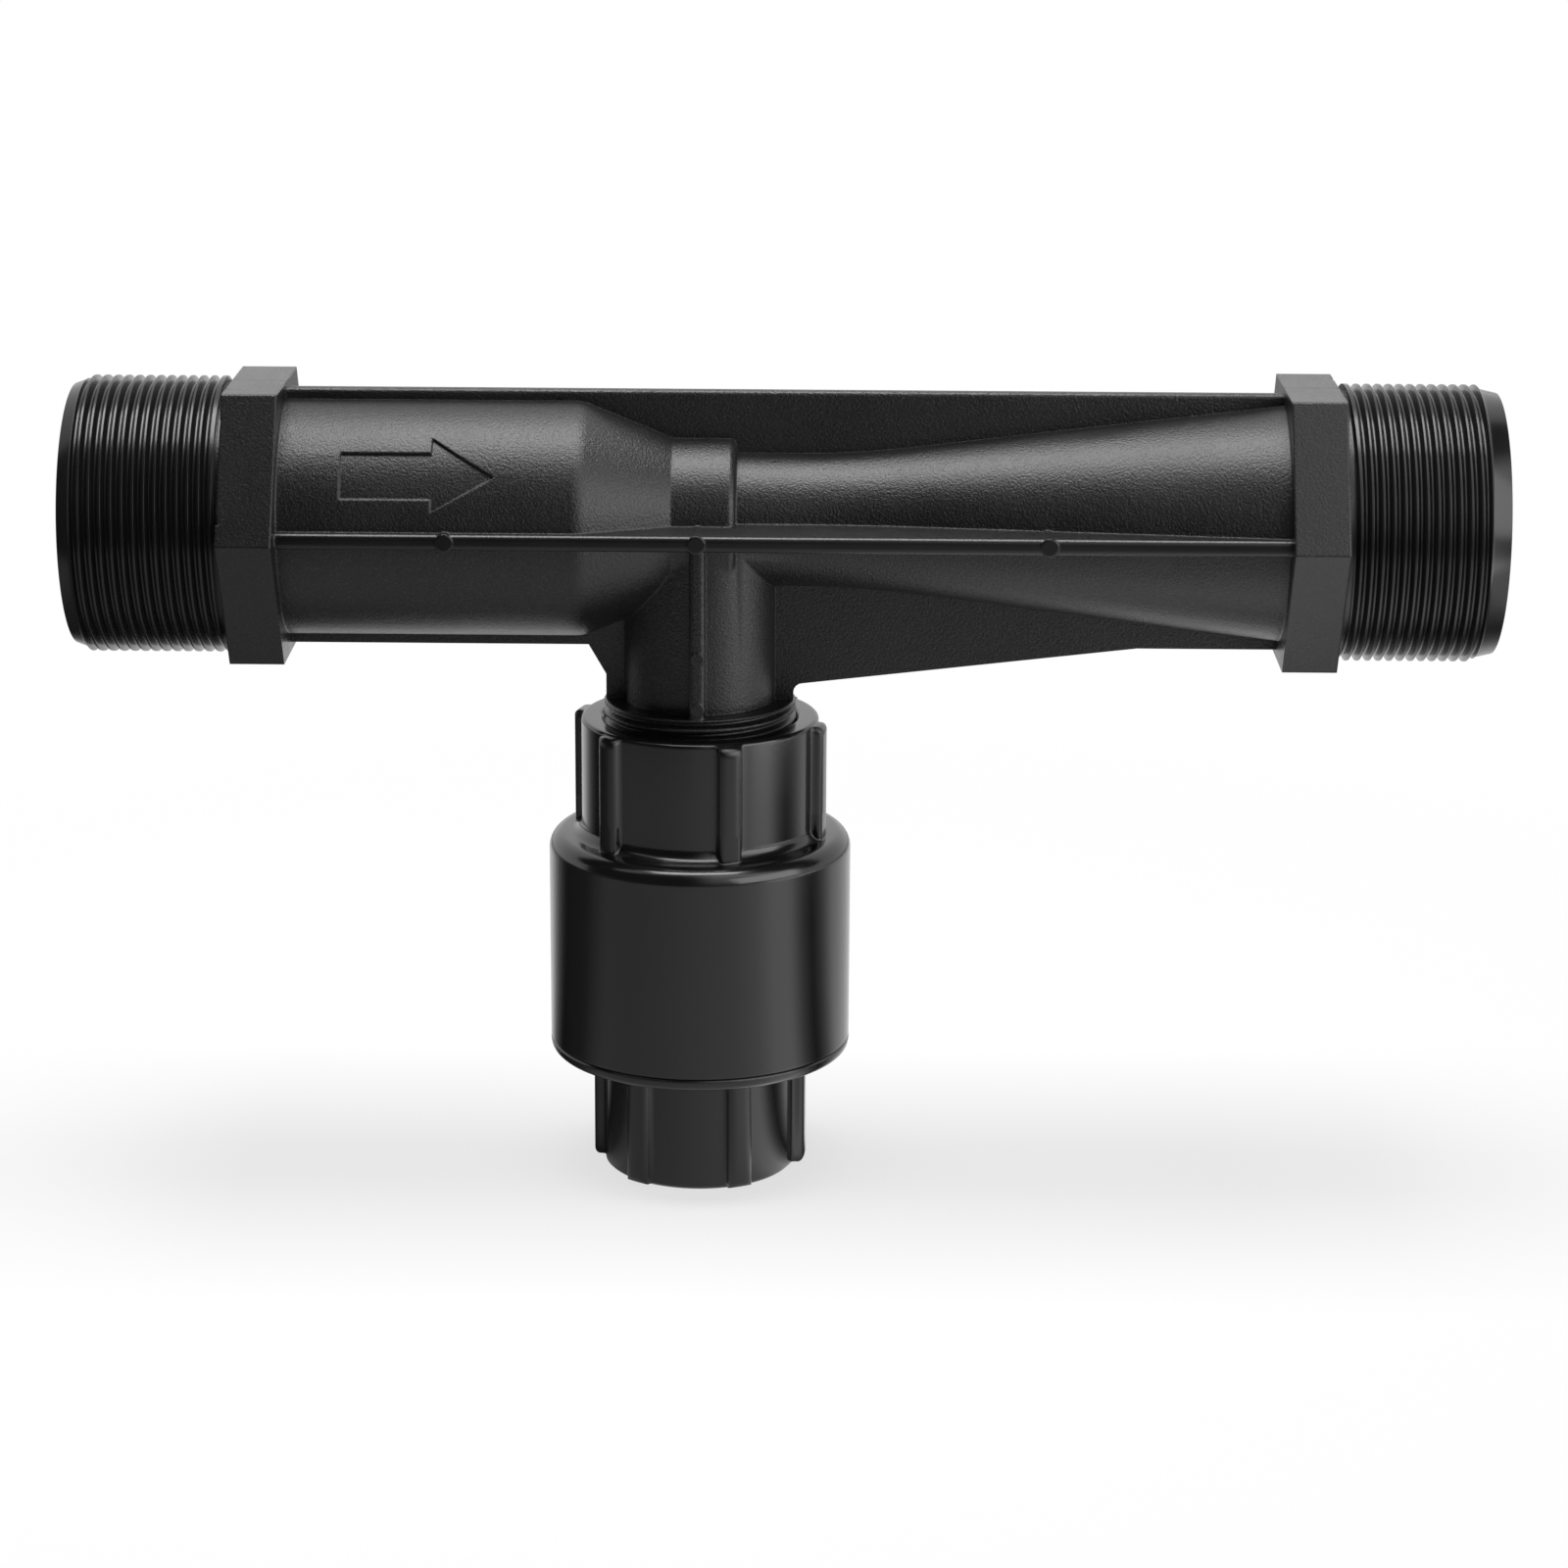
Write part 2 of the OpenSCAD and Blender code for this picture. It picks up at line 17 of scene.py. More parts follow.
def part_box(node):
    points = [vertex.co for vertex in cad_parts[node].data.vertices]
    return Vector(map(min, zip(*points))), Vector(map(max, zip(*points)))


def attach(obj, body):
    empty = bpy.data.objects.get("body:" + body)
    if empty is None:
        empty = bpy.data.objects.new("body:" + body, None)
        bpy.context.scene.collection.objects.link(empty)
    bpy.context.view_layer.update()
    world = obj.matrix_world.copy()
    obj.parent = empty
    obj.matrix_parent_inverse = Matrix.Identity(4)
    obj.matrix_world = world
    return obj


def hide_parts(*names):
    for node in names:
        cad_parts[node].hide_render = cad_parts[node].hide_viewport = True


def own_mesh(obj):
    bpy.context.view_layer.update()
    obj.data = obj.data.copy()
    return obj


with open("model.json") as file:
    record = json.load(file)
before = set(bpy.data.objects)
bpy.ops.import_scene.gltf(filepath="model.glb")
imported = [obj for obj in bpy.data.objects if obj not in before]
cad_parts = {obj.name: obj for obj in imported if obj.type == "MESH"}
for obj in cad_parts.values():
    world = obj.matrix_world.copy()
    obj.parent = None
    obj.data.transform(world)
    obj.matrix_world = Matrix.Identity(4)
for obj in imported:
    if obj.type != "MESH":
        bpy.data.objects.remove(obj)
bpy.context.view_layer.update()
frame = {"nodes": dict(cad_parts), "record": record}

MM = 0.001
mounts = {mount["name"]: mount for mount in frame["record"]["mounts"]}
flow_z = mounts["inlet_thread"]["pos_m"][2]
print("nodes:", sorted(frame["nodes"]))
print("flow axis at height", round(flow_z / MM, 1), "mm")

# %% [markdown]
# The photograph looks slightly down on the part, from almost straight in front and through a long lens.
# A camera could be placed by eye, but here its place and turn were worked out from the corners of the
# two hexagons, so that every edge falls where the photograph has it.

# %% Camera
CAMERA_PLACE = (28.05 * MM, -884.67 * MM, 338.17 * MM)
CAMERA_TURN = (74.167, -0.297, 0.705)
LENS_LENGTH = 96.0
SENSOR_WIDTH = 36.0

camera_data = bpy.data.cameras.new("photo_camera")
camera_data.lens = LENS_LENGTH
camera_data.sensor_width = SENSOR_WIDTH
camera = bpy.data.objects.new("photo_camera", camera_data)
camera.location = CAMERA_PLACE
camera.rotation_euler = [math.radians(turn) for turn in CAMERA_TURN]
bpy.context.scene.collection.objects.link(camera)
bpy.context.scene.camera = camera
bpy.context.scene.view_settings.view_transform = "Standard"
print("camera", round(camera.location.length, 3), "m from the socket's mouth")

# %% [markdown]
# Shapes and materials are both made of trees of nodes and links. One small helper makes a node, sets its
# options, and either links each input or gives it a plain value. That keeps every tree below readable
# from top to bottom.

# %% Node helpers
def add_node(tree, kind, inputs=None, **options):
    made = tree.nodes.new(kind)
    for name, value in options.items():
        setattr(made, name, value)
    for name, value in (inputs or {}).items():
        if isinstance(value, bpy.types.NodeSocket):
            tree.links.new(value, made.inputs[name])
        else:
            made.inputs[name].default_value = value
    return made


def calculate(tree, operation, first, second=0.0, clamp=False):
    made = add_node(tree, "ShaderNodeMath", {0: first, 1: second}, operation=operation, use_clamp=clamp)
    return made.outputs[0]


def group_socket(tree, name, kind, is_input=True, default=None):
    socket = tree.interface.new_socket(name, in_out="INPUT" if is_input else "OUTPUT", socket_type=kind)
    if default is not None:
        socket.default_value = default


print("node helpers ready")

# %% [markdown]
# Every material below ends in the Principled shader. Some steps come back in each of them, so they are
# helpers too: plain values on the shader's own sockets, the place of a point on its piece, one range
# stretched to another, and a mix of two values. The place is read in object coordinates, so that the
# finish sits on the piece whatever the camera does.

# %% Material helpers
def new_material(name, **settings):
    material = bpy.data.materials.new(name)
    material.use_nodes = True
    shader = material.node_tree.nodes["Principled BSDF"]
    for socket, value in settings.items():
        shader.inputs[socket.replace("_", " ").title().replace("Ior", "IOR")].default_value = value
    return material, material.node_tree, shader


def object_place(tree):
    return add_node(tree, "ShaderNodeTexCoord").outputs["Object"]


def split_place(tree):
    return add_node(tree, "ShaderNodeSeparateXYZ", {"Vector": object_place(tree)}).outputs


def between(tree, value, low, high, out_low, out_high):
    made = add_node(tree, "ShaderNodeMapRange", {"Value": value, "From Min": low, "From Max": high,
                                                 "To Min": out_low, "To Max": out_high})
    return made.outputs["Result"]


def mix_values(tree, share, first, second):
    return add_node(tree, "ShaderNodeMix", {"Factor": share, "A": first, "B": second}).outputs["Result"]


def vector_length(tree, vector):
    return add_node(tree, "ShaderNodeVectorMath", {0: vector}, operation="LENGTH").outputs["Value"]


print("material helpers ready")

# %% [markdown]
# Moulded plastic has a fine, irregular grain from the eroded steel of its mould. A photograph of it, laid on as
# a texture, would repeat and stretch. Layers of noise in a shader group give the same look at any size: the
# grain itself, a broad cloud that moves the shine a little, and specks where the body paints pale glints of the
# grain into its colour.
# The group puts out numbers only, and each material decides what it does with them.

# %% Shared moulded grain
# Painted glints: the specks of the third noise are painted paler into the body's colour, as the sparkle of the
# grain.
GLINT_SPECKS_PER_GRAIN = 1.3
NOISE_DETAIL = 3.0
GRAIN_HARSHNESS = 0.6
CLOUD_HARSHNESS = 0.5
GLINT_SPECK_DETAIL = 1.0
GLINT_SPECK_HARSHNESS = 0.5


def noise(tree, per_metre, detail, harshness):
    made = add_node(tree, "ShaderNodeTexNoise", {"Vector": object_place(tree), "Scale": per_metre,
                                                 "Detail": detail, "Roughness": harshness})
    return made.outputs["Fac"]


def moulded_grain_group():
    group = bpy.data.node_groups.new("moulded_grain", "ShaderNodeTree")
    for name in ("Grain per metre", "Cloud per metre"):
        group_socket(group, name, "NodeSocketFloat")
    for name in ("Grain", "Cloud", "Glint specks"):
        group_socket(group, name, "NodeSocketFloat", is_input=False)
    given = add_node(group, "NodeGroupInput").outputs
    glint_specks_per_metre = calculate(group, "MULTIPLY", given["Grain per metre"], GLINT_SPECKS_PER_GRAIN)
    add_node(group, "NodeGroupOutput",
             {"Grain": noise(group, given["Grain per metre"], NOISE_DETAIL, GRAIN_HARSHNESS),
              "Cloud": noise(group, given["Cloud per metre"], NOISE_DETAIL, CLOUD_HARSHNESS),
              "Glint specks": noise(group, glint_specks_per_metre, GLINT_SPECK_DETAIL, GLINT_SPECK_HARSHNESS)})
    return group


moulded_grain = moulded_grain_group()
print("shader group", moulded_grain.name, "with", len(moulded_grain.nodes), "nodes")

# %% [markdown]
# A finish has a colour that wanders between two tones, a roughness that wanders between two limits, and a
# height that tilts the light. Real moulded edges are never razor sharp: the Bevel node rounds the light
# on them, at the radius that it is given, and leaves the mesh as it is.

# %% Finish helpers
CLOUD_LOW = 0.3
CLOUD_HIGH = 0.7
EDGE_SAMPLES = 8


def add_grain(tree, grain_per_metre, cloud_per_metre):
    made = add_node(tree, "ShaderNodeGroup", {"Grain per metre": grain_per_metre,
                                              "Cloud per metre": cloud_per_metre}, node_tree=moulded_grain)
    return made.outputs


def two_tone(tree, share, tones):
    ramp = add_node(tree, "ShaderNodeValToRGB", {"Fac": share})
    for element, tone in zip(ramp.color_ramp.elements, tones):
        element.color = (*tone, 1)
    return ramp.outputs["Color"]


def wander(tree, noise_value, limits):
    return between(tree, noise_value, CLOUD_LOW, CLOUD_HIGH, *limits)


def edge_rounding(tree, radius):
    return add_node(tree, "ShaderNodeBevel", {"Radius": radius}, samples=EDGE_SAMPLES).outputs["Normal"]


def bumped(tree, height, depth, **normal):
    return add_node(tree, "ShaderNodeBump", {"Height": height, "Distance": depth, **normal}).outputs["Normal"]


def connect(tree, shader, **outputs):
    for name, output in outputs.items():
        tree.links.new(output, shader.inputs[name.replace("_", " ")])


print("finish helpers ready")

# %% [markdown]
# The body's mould was grained between the hexagons. The threads were cut smooth, and so are the outer faces
# of the ribs, while the hexagons have a shallower grain. These could be three materials on painted faces,
# but a mask that reads a point's place follows the shape by itself: along the flow for threads and
# hexagons, and away from the parting plane for the ribs.

# %% Where the body is grained
END_THREAD_LENGTH = 34 * MM
HEXAGON_LENGTH = 11.7 * MM
HEXAGON_GRAIN = 0.6
RIB_REACH = 27.9 * MM
body_low, body_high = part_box("venturi_body")
inlet_hex_x = body_low.x + END_THREAD_LENGTH
outlet_hex_x = body_high.x - END_THREAD_LENGTH
middle_x = (inlet_hex_x + outlet_hex_x) / 2
hexagon_start = (outlet_hex_x - inlet_hex_x) / 2 - HEXAGON_LENGTH


def unthreaded_share(tree, along):
    after_inlet = between(tree, along, inlet_hex_x - MM, inlet_hex_x, 0.0, 1.0)
    before_outlet = between(tree, along, outlet_hex_x, outlet_hex_x + MM, 1.0, 0.0)
    return calculate(tree, "MULTIPLY", after_inlet, before_outlet)


def grain_share(tree, along, off_parting):
    behind_ribs = between(tree, off_parting, RIB_REACH - MM, RIB_REACH, 1.0, 0.0)
    off_middle = calculate(tree, "ABSOLUTE", calculate(tree, "SUBTRACT", along, middle_x))
    on_hexagon = calculate(tree, "GREATER_THAN", off_middle, hexagon_start)
    return mix_values(tree, on_hexagon, behind_ribs, HEXAGON_GRAIN)


print("grain from", round(inlet_hex_x / MM, 1), "to", round(outlet_hex_x / MM, 1), "mm along the flow")

# %% [markdown]
# The body is black polypropylene. On its grain, light from above spreads into a soft grey, and pale specks
# painted into its colour stand in for the glints of the grain. Its threads shine in thin lines, so their edges
# are rounded far less than the others. So are the feet of the webs, where a wide rounding would draw a bright
# line. A fine parting line runs round the body where the halves of the mould met.

# %% Black polypropylene of the body
BODY_TONES = ((0.0055, 0.0055, 0.0058), (0.0095, 0.0095, 0.0100))
# Painted glints: this pale grey of the specks stands in for the sparkle of the grain.
PAINTED_GLINT_GREY = (0.024, 0.024, 0.025, 1)
GLINT_SPECK_START = 0.5
GLINT_SPECK_FULL = 0.75
SMOOTH_ROUGH = (0.20, 0.26)
GRAINED_ROUGH = (0.27, 0.33)
GRAIN_DEPTH = 0.15 * MM
PARTING_HALF = 0.3 * MM
PARTING_HEIGHT = 0.1 * MM
BODY_EDGE = 0.65 * MM
THREAD_EDGE = 0.12 * MM
WEB_EDGE = 0.2 * MM
WEB_NEAR = 2.5 * MM
WEB_FAR = 5 * MM
# The Mix node has a set of sockets for each kind of value. Its colours have these numbers.
COLOUR_A, COLOUR_B, COLOUR_RESULT = 6, 7, 2


def body_colour(tree, grain, grained):
    # Painted glints: pale specks are mixed into the colour where the body is grained.
    glint_specks = between(tree, grain["Glint specks"], GLINT_SPECK_START, GLINT_SPECK_FULL, 0.0, 1.0)
    plain = two_tone(tree, grain["Cloud"], BODY_TONES)
    made = add_node(tree, "ShaderNodeMix", {"Factor": calculate(tree, "MULTIPLY", glint_specks, grained),
                                            COLOUR_A: plain, COLOUR_B: PAINTED_GLINT_GREY}, data_type="RGBA")
    return made.outputs[COLOUR_RESULT]


def body_plastic():
    material, tree, shader = new_material("black_polypropylene", specular_ior_level=0.4)
    grain = add_grain(tree, grain_per_metre=1900.0, cloud_per_metre=55.0)
    place = split_place(tree)
    off_parting = calculate(tree, "ABSOLUTE", place["Y"])
    unthreaded = unthreaded_share(tree, place["X"])
    grained = calculate(tree, "MULTIPLY", unthreaded, grain_share(tree, place["X"], off_parting))
    rough = mix_values(tree, grained, wander(tree, grain["Cloud"], SMOOTH_ROUGH),
                       wander(tree, grain["Cloud"], GRAINED_ROUGH))
    moulded_edge = between(tree, off_parting, WEB_NEAR, WEB_FAR, WEB_EDGE, BODY_EDGE)
    edges = edge_rounding(tree, mix_values(tree, unthreaded, THREAD_EDGE, moulded_edge))
    parting = between(tree, off_parting, 0.0, PARTING_HALF, PARTING_HEIGHT / GRAIN_DEPTH, 0.0)
    height = calculate(tree, "ADD", calculate(tree, "MULTIPLY", grain["Grain"], grained), parting)
    connect(tree, shader, Base_Color=body_colour(tree, grain, grained), Roughness=rough,
            Normal=bumped(tree, height, GRAIN_DEPTH, Normal=edges))
    return material


body_black = body_plastic()
print("material", body_black.name)

# %% [markdown]
# The check valve is smoother: its mould was polished, so it reflects the studio as soft bands. It still has
# a faint unevenness, which keeps the bands from looking drawn with a ruler. The grip ribs on its collar
# and on its socket are round all over. The edge rounding is therefore wider wherever a point stands out
# from the wall that carries the ribs.

# %% Satin plastic of the check valve
VALVE_TONES = ((0.0065, 0.0065, 0.0068), (0.0095, 0.0095, 0.0100))
VALVE_ROUGH = (0.15, 0.19)
RIPPLE_DEPTH = 0.012 * MM
VALVE_EDGE = 0.7 * MM
RIB_EDGE = 2.2 * MM
RIB_RISE = 0.4 * MM
COLLAR_RADIUS = 26 * MM
COLLAR_LOW = 83 * MM
SOCKET_OUTER = 21.2 * MM
SOCKET_HIGH = 25 * MM


def extra_on_ribs(tree, at_height, reach, wall_radius):
    standing_out = between(tree, reach, wall_radius, wall_radius + RIB_RISE, 0.0, RIB_EDGE - VALVE_EDGE)
    return calculate(tree, "MULTIPLY", at_height, standing_out)


def valve_edge_radius(tree):
    place = split_place(tree)
    level = add_node(tree, "ShaderNodeCombineXYZ", {"X": place["X"], "Y": place["Y"]}).outputs[0]
    reach = vector_length(tree, level)
    at_collar = calculate(tree, "GREATER_THAN", place["Z"], COLLAR_LOW)
    at_socket = calculate(tree, "LESS_THAN", place["Z"], SOCKET_HIGH)
    extra = calculate(tree, "ADD", extra_on_ribs(tree, at_collar, reach, COLLAR_RADIUS),
                      extra_on_ribs(tree, at_socket, reach, SOCKET_OUTER))
    return calculate(tree, "ADD", extra, VALVE_EDGE)


def valve_plastic():
    material, tree, shader = new_material("satin_black", specular_ior_level=0.5)
    grain = add_grain(tree, grain_per_metre=900.0, cloud_per_metre=45.0)
    edges = edge_rounding(tree, valve_edge_radius(tree))
    connect(tree, shader, Base_Color=two_tone(tree, grain["Cloud"], VALVE_TONES),
            Roughness=wander(tree, grain["Cloud"], VALVE_ROUGH),
            Normal=bumped(tree, grain["Grain"], RIPPLE_DEPTH, Normal=edges))
    return material


valve_black = valve_plastic()
print("material", valve_black.name)

# %% [markdown]
# The gasket, the O-ring and the poppet's washer are rubber. They hardly show, but a part that can be reused
# is finished inside too. Rubber is dull and dusty: its roughness is high, and its grain is shallow.

# %% Rubber of the rings
RUBBER_TONES = ((0.012, 0.012, 0.012), (0.026, 0.026, 0.025))
RUBBER_ROUGH = (0.62, 0.78)
RUBBER_DEPTH = 0.03 * MM


def seal_rubber_material():
    material, tree, shader = new_material("dull_rubber", specular_ior_level=0.35)
    grain = add_grain(tree, grain_per_metre=1500.0, cloud_per_metre=90.0)
    connect(tree, shader, Base_Color=two_tone(tree, grain["Cloud"], RUBBER_TONES),
            Roughness=wander(tree, grain["Cloud"], RUBBER_ROUGH),
            Normal=bumped(tree, grain["Grain"], RUBBER_DEPTH))
    return material


seal_rubber = seal_rubber_material()
print("material", seal_rubber.name)

# %% [markdown]
# The poppet is turned from pale acetal. It is milky, and the tool leaves faint rings round its axis. A wave
# texture of rings, used as a very small height, gives them at any size.

# %% Acetal of the poppet
ACETAL_TONES = ((0.46, 0.47, 0.48), (0.56, 0.57, 0.57))
ACETAL_ROUGH = (0.34, 0.44)
RINGS_PER_METRE = 450.0
RING_WOBBLE = 0.4
RING_DEPTH = 0.01 * MM


def poppet_acetal_material():
    material, tree, shader = new_material("grey_acetal", specular_ior_level=0.5)
    grain = add_grain(tree, grain_per_metre=1200.0, cloud_per_metre=120.0)
    rings = add_node(tree, "ShaderNodeTexWave", {"Vector": object_place(tree), "Scale": RINGS_PER_METRE,
                                                 "Distortion": RING_WOBBLE},
                     wave_type="RINGS", rings_direction="Z").outputs["Fac"]
    connect(tree, shader, Base_Color=two_tone(tree, grain["Cloud"], ACETAL_TONES),
            Roughness=wander(tree, grain["Cloud"], ACETAL_ROUGH),
            Normal=bumped(tree, rings, RING_DEPTH))
    return material


poppet_grey = poppet_acetal_material()
print("material", poppet_grey.name)

# %% [markdown]
# The spring is steel wire, drawn through a die. The metal itself gives the colour, so the shader is metallic,
# and the fine grain moves its roughness instead of its height.

# %% Steel of the spring
STEEL_TONES = ((0.50, 0.50, 0.49), (0.68, 0.68, 0.67))
STEEL_ROUGH = (0.2, 0.34)


def spring_steel_material():
    material, tree, shader = new_material("drawn_steel", metallic=1.0)
    grain = add_grain(tree, grain_per_metre=3000.0, cloud_per_metre=300.0)
    connect(tree, shader, Base_Color=two_tone(tree, grain["Cloud"], STEEL_TONES),
            Roughness=wander(tree, grain["Grain"], STEEL_ROUGH))
    return material


spring_steel = spring_steel_material()
print("material", spring_steel.name)

# %% [markdown]
# The solids of the rings and of the poppet already have the right shape. They stay as the CAD made them,
# and only their material slots are filled.

# %% Finish the inner pieces
INNER_FINISH = {"port_gasket": seal_rubber, "cap_o_ring": seal_rubber, "poppet_seal": seal_rubber,
                "valve_poppet": poppet_grey}


def give_material(mesh, material):
    mesh.materials.clear()
    mesh.materials.append(material)


for node_name, material in INNER_FINISH.items():
    give_material(frame["nodes"][node_name].data, material)
print("finished inner pieces:", sorted(INNER_FINISH))

# %% [markdown]
# The CAD solids arrive as loose triangles. A copy of each outer solid has its doubled corners merged, so
# that it is one closed skin which can be cut and shaded smooth. The copy then stands for the CAD node,
# which stays untouched.

# %% Merged copies of the outer solids
MERGE_DISTANCE = 0.002 * MM


def new_piece(name, mesh):
    piece = bpy.data.objects.new(name, mesh)
    bpy.context.scene.collection.objects.link(piece)
    return piece


def mesh_from(shape, name):
    mesh = bpy.data.meshes.new(name)
    shape.to_mesh(mesh)
    shape.free()
    return mesh


def merged_copy(node_name, piece_name):
    shape = bmesh.new()
    shape.from_mesh(frame["nodes"][node_name].data)
    bmesh.ops.remove_doubles(shape, verts=shape.verts, dist=MERGE_DISTANCE)
    mesh = mesh_from(shape, piece_name)
    if "custom_normal" in mesh.attributes:
        mesh.attributes.remove(mesh.attributes["custom_normal"])
    return new_piece(piece_name, mesh)


body = merged_copy("venturi_body", "venturi_body_moulded")
housing = merged_copy("check_valve_housing", "check_valve_housing_moulded")
cap = merged_copy("check_valve_cap", "check_valve_cap_moulded")
print("merged copies:", [(piece.name, len(piece.data.vertices)) for piece in (body, housing, cap)])

# %% [markdown]
# A solid can't get shorter, and a spring has to: when the poppet lifts, its disc would cut through the coils.
# So a copy stands for the spring. It keeps the length of the CAD spring, and nothing here squashes it when the
# poppet lifts.
# Its wire is round, so only the cut ends of the wire stay crisp.

# %% Spring copy
WIRE_CRISP_ANGLE = math.radians(60)


def shade_smooth(mesh, crisp_angle):
    mesh.polygons.foreach_set("use_smooth", [True] * len(mesh.polygons))
    mesh.set_sharp_from_angle(angle=crisp_angle)


spring = merged_copy("valve_spring", "valve_spring_coil")
shade_smooth(spring.data, WIRE_CRISP_ANGLE)
give_material(spring.data, spring_steel)
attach(spring, "injector")
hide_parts("valve_spring")
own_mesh(spring)

# %% [markdown]
# A pipe thread is one V-shaped groove that winds round a cylinder, eleven turns to the inch. Modelling each
# turn as its own ring would be wrong, because rings don't screw in. A geometry node tree follows the real
# cut. Its path is a spiral, and both ends of the spiral are lifted out so that the groove runs out softly.

# %% Path of a thread groove
THREAD_PITCH = 25.4 / 11 * MM
STEPS_PER_TURN = 96


def groove_path(tree, given):
    spiral = add_node(tree, "GeometryNodeCurveSpiral",
                      {"Resolution": STEPS_PER_TURN, "Rotations": given["Turns"],
                       "Start Radius": given["Path radius"], "End Radius": given["Path radius"],
                       "Height": given["Length"], "Reverse": True})
    share = add_node(tree, "GeometryNodeSplineParameter").outputs["Factor"]
    turn = calculate(tree, "MULTIPLY", share, given["Turns"])
    to_end = calculate(tree, "SUBTRACT", given["Turns"], turn)
    nearest_end = calculate(tree, "MINIMUM", turn, to_end)
    inside = calculate(tree, "DIVIDE", nearest_end, given["Run-out turns"], clamp=True)
    lift_out = calculate(tree, "MULTIPLY", calculate(tree, "SUBTRACT", 1.0, inside), given["Run-out lift"])
    growth = calculate(tree, "ADD", calculate(tree, "DIVIDE", lift_out, given["Path radius"]), 1.0)
    factors = add_node(tree, "ShaderNodeCombineXYZ", {"X": growth, "Y": growth, "Z": 1.0}).outputs[0]
    position = add_node(tree, "GeometryNodeInputPosition").outputs[0]
    lifted = add_node(tree, "ShaderNodeVectorMath", {0: position, 1: factors}, operation="MULTIPLY")
    path = add_node(tree, "GeometryNodeSetPosition", {"Geometry": spiral.outputs[0],
                                                      "Position": lifted.outputs[0]})
    return add_node(tree, "GeometryNodeSetCurveNormal", {"Curve": path.outputs[0]}, mode="Z_UP").outputs[0]


print("thread pitch", round(THREAD_PITCH / MM, 3), "mm")

# %% [markdown]
# The outline of the groove is a four-cornered V with a narrow root. It is swept along the path and closed at
# both ends, so that it can be cut out of a solid. The same tree serves all threads, with its sizes as
# named inputs.

# %% Node tree of a thread groove
GROOVE_SIZES = {"Path radius": 0.03, "Depth": 0.0018, "Root width": 0.00035, "Mouth width": 0.0022,
                "Length": 0.03, "Turns": 13.0, "Run-out turns": 0.35, "Run-out lift": 0.0018}


def groove_outline(tree, given):
    inwards = calculate(tree, "MULTIPLY", given["Depth"], -1.0)
    corners = {}
    for number, (depth, width, side) in enumerate(((0.0, "Mouth width", -0.5), (inwards, "Root width", -0.5),
                                                   (inwards, "Root width", 0.5), (0.0, "Mouth width", 0.5)), 1):
        across = calculate(tree, "MULTIPLY", given[width], side)
        corner = add_node(tree, "ShaderNodeCombineXYZ", {"X": depth, "Y": across})
        corners[f"Point {number}"] = corner.outputs[0]
    return add_node(tree, "GeometryNodeCurvePrimitiveQuadrilateral", corners, mode="POINTS").outputs[0]


def thread_groove_tree():
    tree = bpy.data.node_groups.new("thread_groove", "GeometryNodeTree")
    for name, default in GROOVE_SIZES.items():
        group_socket(tree, name, "NodeSocketFloat", default=default)
    group_socket(tree, "Material", "NodeSocketMaterial")
    group_socket(tree, "Geometry", "NodeSocketGeometry", is_input=False)
    given = add_node(tree, "NodeGroupInput").outputs
    sweep = add_node(tree, "GeometryNodeCurveToMesh", {"Curve": groove_path(tree, given), "Fill Caps": True,
                                                       "Profile Curve": groove_outline(tree, given)})
    real = add_node(tree, "GeometryNodeRealizeInstances", {"Geometry": sweep.outputs[0]})
    finish = add_node(tree, "GeometryNodeSetMaterial", {"Geometry": real.outputs[0],
                                                        "Material": given["Material"]})
    add_node(tree, "NodeGroupOutput", {"Geometry": finish.outputs[0]})
    return tree


thread_groove = thread_groove_tree()
print("geometry tree", thread_groove.name, "with", len(thread_groove.nodes), "nodes")

# %% [markdown]
# A finished piece is a plain mesh without modifiers, so that the frame sees what the camera sees. The result of
# a modifier is therefore turned into a new mesh, and the old one is thrown away.
# Joining and cutting are done by Boolean modifiers with the manifold solver, which is quick and keeps
# closed shapes closed.

# %% Plain meshes, joining and cutting
def make_plain(piece):
    """Turns a piece with modifiers into a plain mesh, and takes the modifiers off."""
    bpy.context.view_layer.update()
    evaluated = piece.evaluated_get(bpy.context.evaluated_depsgraph_get())
    old_mesh = piece.data
    piece.data = bpy.data.meshes.new_from_object(evaluated)
    piece.modifiers.clear()
    bpy.data.meshes.remove(old_mesh)
    piece.data.name = piece.name


def combine(piece, tools, operation):
    """Joins or cuts a piece with closed tool shapes, and throws the tools away."""
    for tool in tools:
        step = piece.modifiers.new(tool.name, "BOOLEAN")
        step.operation = operation
        step.solver = "MANIFOLD"
        step.object = tool
    make_plain(piece)
    for tool in tools:
        bpy.data.meshes.remove(tool.data)


print("joining and cutting ready")

# %% [markdown]
# A modifier with the thread tree makes one groove. Its sizes are set by the identifiers of the tree's inputs.
# The flanks of a pipe thread lean by half of 55 degrees, so the depth gives the width of the mouth. The
# groove is then put in its place with its faces outwards, because a cutter that is inside out would cut
# away the wrong side.

# %% One groove
FLANK_ANGLE = math.radians(27.5)
GROOVE_DEPTH = 1.45 * MM
ROOT_WIDTH = 0.35 * MM
MOUTH_RISE = 0.3 * MM
RUN_OUT_TURNS = 0.4


def face_outwards(mesh):
    shape = bmesh.new()
    shape.from_mesh(mesh)
    bmesh.ops.recalc_face_normals(shape, faces=shape.faces)
    shape.to_mesh(mesh)
    print(mesh.name, "closed volume", round(shape.calc_volume(signed=True) / MM**3, 1), "mm3")
    shape.free()


